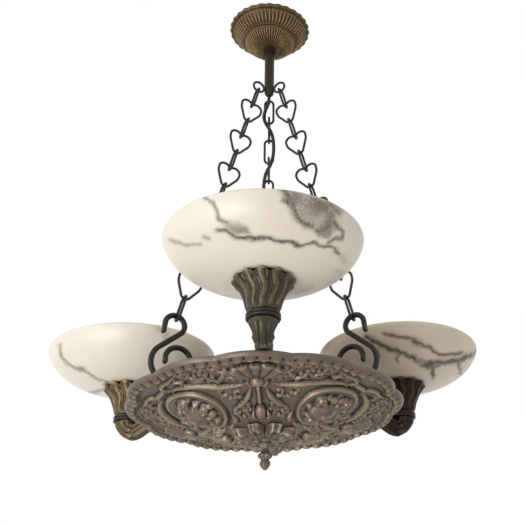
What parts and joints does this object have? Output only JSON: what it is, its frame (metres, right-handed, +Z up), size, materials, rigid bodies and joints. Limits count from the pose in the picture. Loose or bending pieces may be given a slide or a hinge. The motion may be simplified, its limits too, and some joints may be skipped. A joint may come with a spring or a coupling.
{
  "type": "alabaster bowl pendant",
  "caption": "Ceiling pendant: cast bronze dish on link chains, short bronze arms with petal cups carrying open alabaster bowls, fluted canopy, finial below.",
  "frame": {"origin": "on the ceiling plane, on the axis of the ceiling hook screw", "axes": "+Z up along the screw; -Y is the front, towards which one arm points; +X is right as seen from the front"},
  "size_m": [0.6957, 0.6377, 0.8629],
  "materials": {
    "bronze_dish": "antique bronze, pinkish brown with worn gold",
    "bronze_gold": "antique bronze, golden brown",
    "bronze_red": "antique bronze, dark red brown",
    "bronze_green": "antique bronze, green grey with worn gold",
    "bronze_dark": "antique bronze, nearly black",
    "steel": "zinc plated",
    "alabaster_front": "honed alabaster with smoky veins",
    "alabaster_right": "honed alabaster with dark veins",
    "alabaster_left": "honed alabaster with faint veins",
    "black_plastic": "moulded",
    "porcelain": "glazed",
    "felt": "pressed",
    "bulb_glass": "opal",
    "pvc": "smooth",
    "white_pvc": "smooth"
  },
  "bodies": {
    "ceiling": {"ceiling_hook": "steel"},
    "shackle": {"shackle_bow": "steel", "shackle_pin": "steel"},
    "stem": {"top_loop": "steel", "stem_tube": "bronze_gold", "chain_eyes": "bronze_dark", "cord_nozzle": "black_plastic"},
    "canopy": {"canopy_skirt": "bronze_gold", "canopy_dome": "bronze_gold", "canopy_collar": "bronze_dark"},
    "canopy_screw": {"canopy_screw": "bronze_dark"},
    "dish": {"s_hook_left": "bronze_dark", "s_hook_right": "bronze_dark", "s_hook_rear": "bronze_dark", "hook_saddles": "bronze_dark", "hook_straps": "steel", "strap_screws": "steel", "dish": "bronze_dish", "rosette": "bronze_dish", "finial_nut": "steel", "junction_box": "steel", "junction_lid": "steel", "terminal_block": "porcelain", "flex_gland": "black_plastic", "lead_grommets": "black_plastic", "flex_clip": "black_plastic", "dish_flex": "pvc", "arm_front": "bronze_green", "cup_front": "bronze_green", "arm_lead_front": "white_pvc", "lampholder_front": "porcelain", "arm_right": "bronze_red", "cup_right": "bronze_red", "arm_lead_right": "white_pvc", "lampholder_right": "porcelain", "arm_left": "bronze_gold", "cup_left": "bronze_gold", "arm_lead_left": "white_pvc", "lampholder_left": "porcelain", "arm_screws": "steel", "cup_collars": "bronze_dark", "nipples": "steel", "felt_rings": "felt", "bowl_washers": "steel", "bowl_nuts": "steel"},
    "chain_left": {"left_narrow_links": "bronze_dark", "left_heart_links": "bronze_dark"},
    "chain_right": {"right_narrow_links": "bronze_dark", "right_heart_links": "bronze_dark"},
    "chain_rear": {"rear_narrow_links": "bronze_dark", "rear_heart_links": "bronze_dark", "main_flex": "pvc"},
    "finial": {"finial": "bronze_dish"},
    "bowl_front": {"bowl_front": "alabaster_front"},
    "bowl_right": {"bowl_right": "alabaster_right"},
    "bowl_left": {"bowl_left": "alabaster_left"},
    "bulb_front": {"bulb_front": "bulb_glass"},
    "bulb_right": {"bulb_right": "bulb_glass"},
    "bulb_left": {"bulb_left": "bulb_glass"}
  },
  "joints": [
    {"name": "shackle_swing", "type": "hinge", "parent": "ceiling", "child": "shackle", "pos_m": [0, 0, -0.026], "axis": [1, 0, 0], "range_deg": [-3, 3]},
    {"name": "stem_swing", "type": "hinge", "parent": "shackle", "child": "stem", "pos_m": [0, 0, -0.0365], "axis": [0, 1, 0], "range_deg": [-3, 3]},
    {"name": "canopy_slide", "type": "slide", "parent": "stem", "child": "canopy", "axis": [0, 0, 1], "range_m": [-0.065, 0]},
    {"name": "screw_turn", "type": "hinge", "parent": "canopy", "child": "canopy_screw", "pos_m": [-0.007, 0.01212, -0.0571], "axis": [-0.5, 0.866, 0], "continuous": true},
    {"name": "dish_twist", "type": "hinge", "parent": "stem", "child": "dish", "pos_m": [0, 0, -0.72612], "axis": [0, 0, 1], "range_deg": [-4, 4], "stiffness_Nm_per_rad": 1},
    {"name": "chain_left_swing", "type": "hinge", "parent": "stem", "child": "chain_left", "pos_m": [-0.02005, -0.01158, -0.15417], "axis": [-0.866, -0.5, 0], "range_deg": [-1.3, 1.3]},
    {"name": "chain_right_swing", "type": "hinge", "parent": "stem", "child": "chain_right", "pos_m": [0.02005, -0.01158, -0.15417], "axis": [0.866, -0.5, 0], "range_deg": [-1.3, 1.3]},
    {"name": "chain_rear_swing", "type": "hinge", "parent": "stem", "child": "chain_rear", "pos_m": [0, 0.02315, -0.15417], "axis": [0, 1, 0], "range_deg": [-1.3, 1.3]},
    {"name": "finial_turn", "type": "hinge", "parent": "dish", "child": "finial", "pos_m": [0, 0, -0.79612], "axis": [0, 0, 1], "continuous": true},
    {"name": "bowl_front_turn", "type": "hinge", "parent": "dish", "child": "bowl_front", "pos_m": [0, -0.2503, -0.65051], "axis": [0, 0, 1], "continuous": true},
    {"name": "bowl_right_turn", "type": "hinge", "parent": "dish", "child": "bowl_right", "pos_m": [0.21677, 0.12515, -0.65051], "axis": [0, 0, 1], "continuous": true},
    {"name": "bowl_left_turn", "type": "hinge", "parent": "dish", "child": "bowl_left", "pos_m": [-0.21677, 0.12515, -0.65051], "axis": [0, 0, 1], "continuous": true},
    {"name": "bulb_front_turn", "type": "hinge", "parent": "dish", "child": "bulb_front", "pos_m": [0, -0.2503, -0.61051], "axis": [0, 0, 1], "continuous": true},
    {"name": "bulb_right_turn", "type": "hinge", "parent": "dish", "child": "bulb_right", "pos_m": [0.21677, 0.12515, -0.61051], "axis": [0, 0, 1], "continuous": true},
    {"name": "bulb_left_turn", "type": "hinge", "parent": "dish", "child": "bulb_left", "pos_m": [-0.21677, 0.12515, -0.61051], "axis": [0, 0, 1], "continuous": true}
  ],
  "couplings": [
    {"joint": "chain_left_swing", "follows": "dish_twist", "ratio": 0.3138},
    {"joint": "chain_right_swing", "follows": "dish_twist", "ratio": 0.3138},
    {"joint": "chain_rear_swing", "follows": "dish_twist", "ratio": 0.3138}
  ]
}
